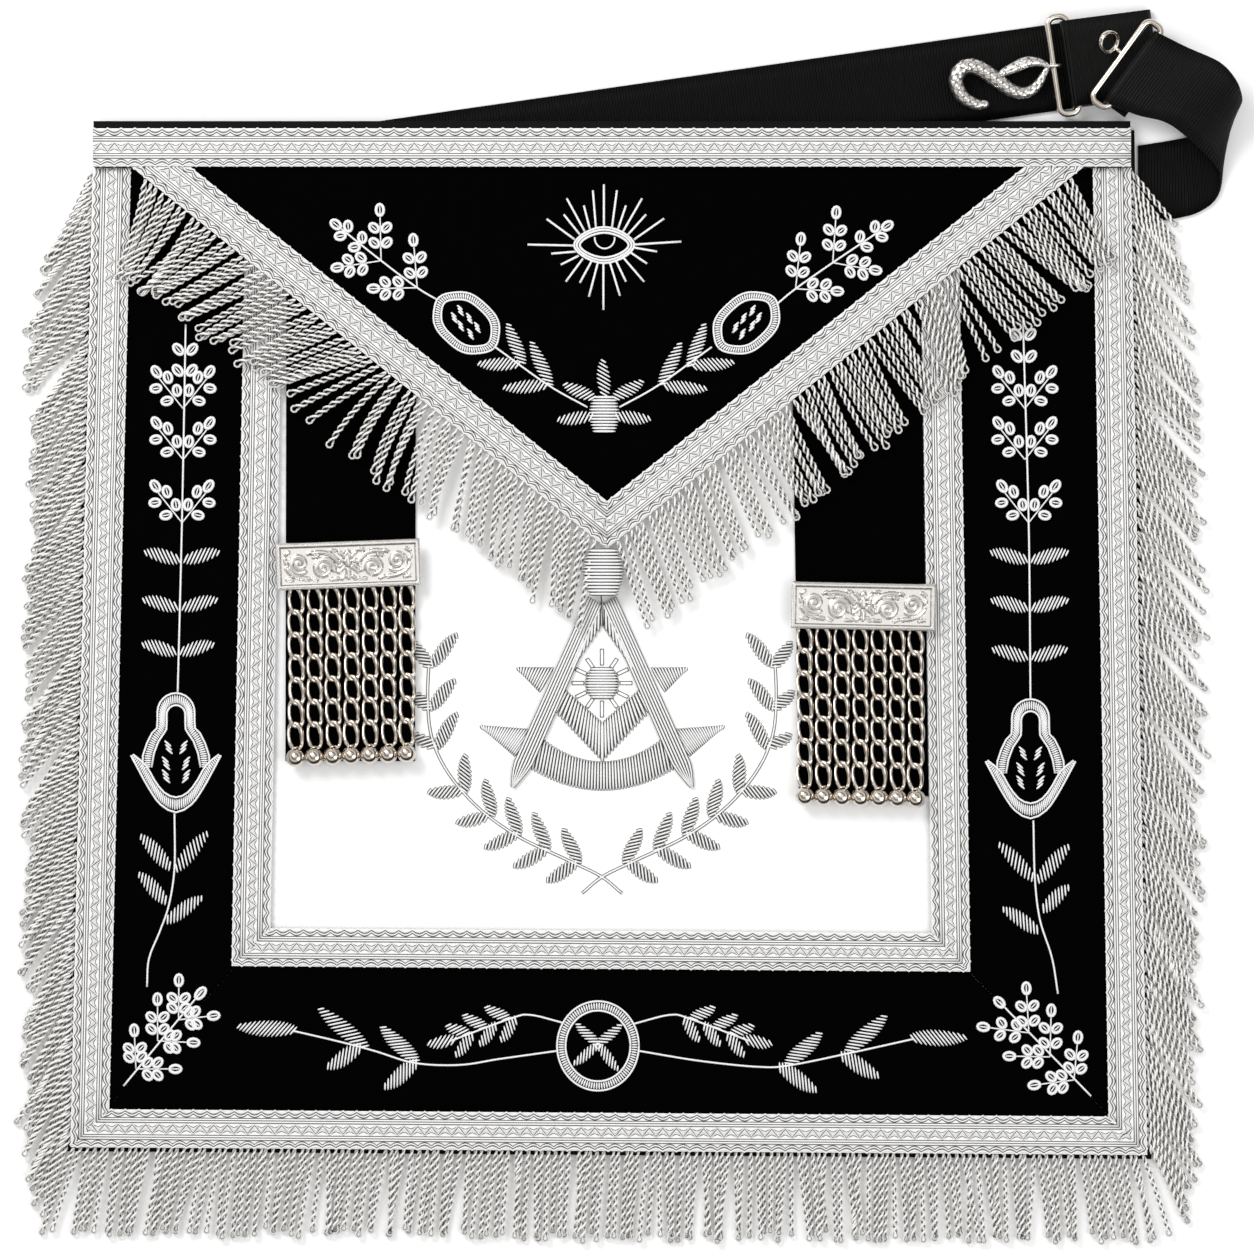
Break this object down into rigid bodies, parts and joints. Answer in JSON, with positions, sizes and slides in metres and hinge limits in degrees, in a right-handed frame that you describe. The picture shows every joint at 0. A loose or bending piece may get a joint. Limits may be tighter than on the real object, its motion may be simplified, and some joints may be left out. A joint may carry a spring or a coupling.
{
  "type": "masonic apron",
  "caption": "Fraternal apron of white leather and black velvet with silver braid, fringe and embroidery, chain tassels and a black webbing belt with a snake hook, laid flat.",
  "frame": {"origin": "the middle of the apron's back face, on the floor it lies on", "axes": "+X to the right across the apron, +Y up from its foot to its top edge, +Z up from the floor through its face"},
  "size_m": [0.4659, 0.4696, 0.0184],
  "materials": {
    "lining": "matte black cotton",
    "leather": "smooth white",
    "velvet": "black pile",
    "tape": "woven silver thread",
    "cord": "twisted silver cord",
    "webbing": "ribbed black webbing",
    "nickel": "polished nickel plate",
    "cast_silver": "cast and silvered"
  },
  "bodies": {
    "apron": {"backing": "lining", "bar_left": "cast_silver", "bar_right": "cast_silver", "flap": "velvet", "flap_braid": "tape", "flap_fringe_left": "cord", "flap_fringe_right": "cord", "frame_left": "nickel", "frame_right": "nickel", "fringe_bottom": "cord", "fringe_left": "cord", "fringe_right": "cord", "hem": "lining", "inner_braid": "tape", "left_chain_1": "nickel", "left_chain_2": "nickel", "left_chain_3": "nickel", "left_chain_4": "nickel", "left_chain_5": "nickel", "left_chain_6": "nickel", "left_chain_7": "nickel", "outer_braid": "tape", "panel": "leather", "right_chain_1": "nickel", "right_chain_2": "nickel", "right_chain_3": "nickel", "right_chain_4": "nickel", "right_chain_5": "nickel", "right_chain_6": "nickel", "right_chain_7": "nickel", "strap_left": "webbing", "strap_right": "webbing", "tab_left": "velvet", "tab_right": "velvet", "top_braid": "tape", "velvet_bottom": "velvet", "velvet_left": "velvet", "velvet_right": "velvet"},
    "hook": {"snake_hook": "cast_silver"}
  },
  "joints": [
    {"name": "hook_swing", "type": "hinge", "parent": "apron", "child": "hook", "pos_m": [0.16876, 0.21913, 0.0047], "axis": [-0.1426, 0.9898, 0], "range_deg": [0, 130]}
  ]
}
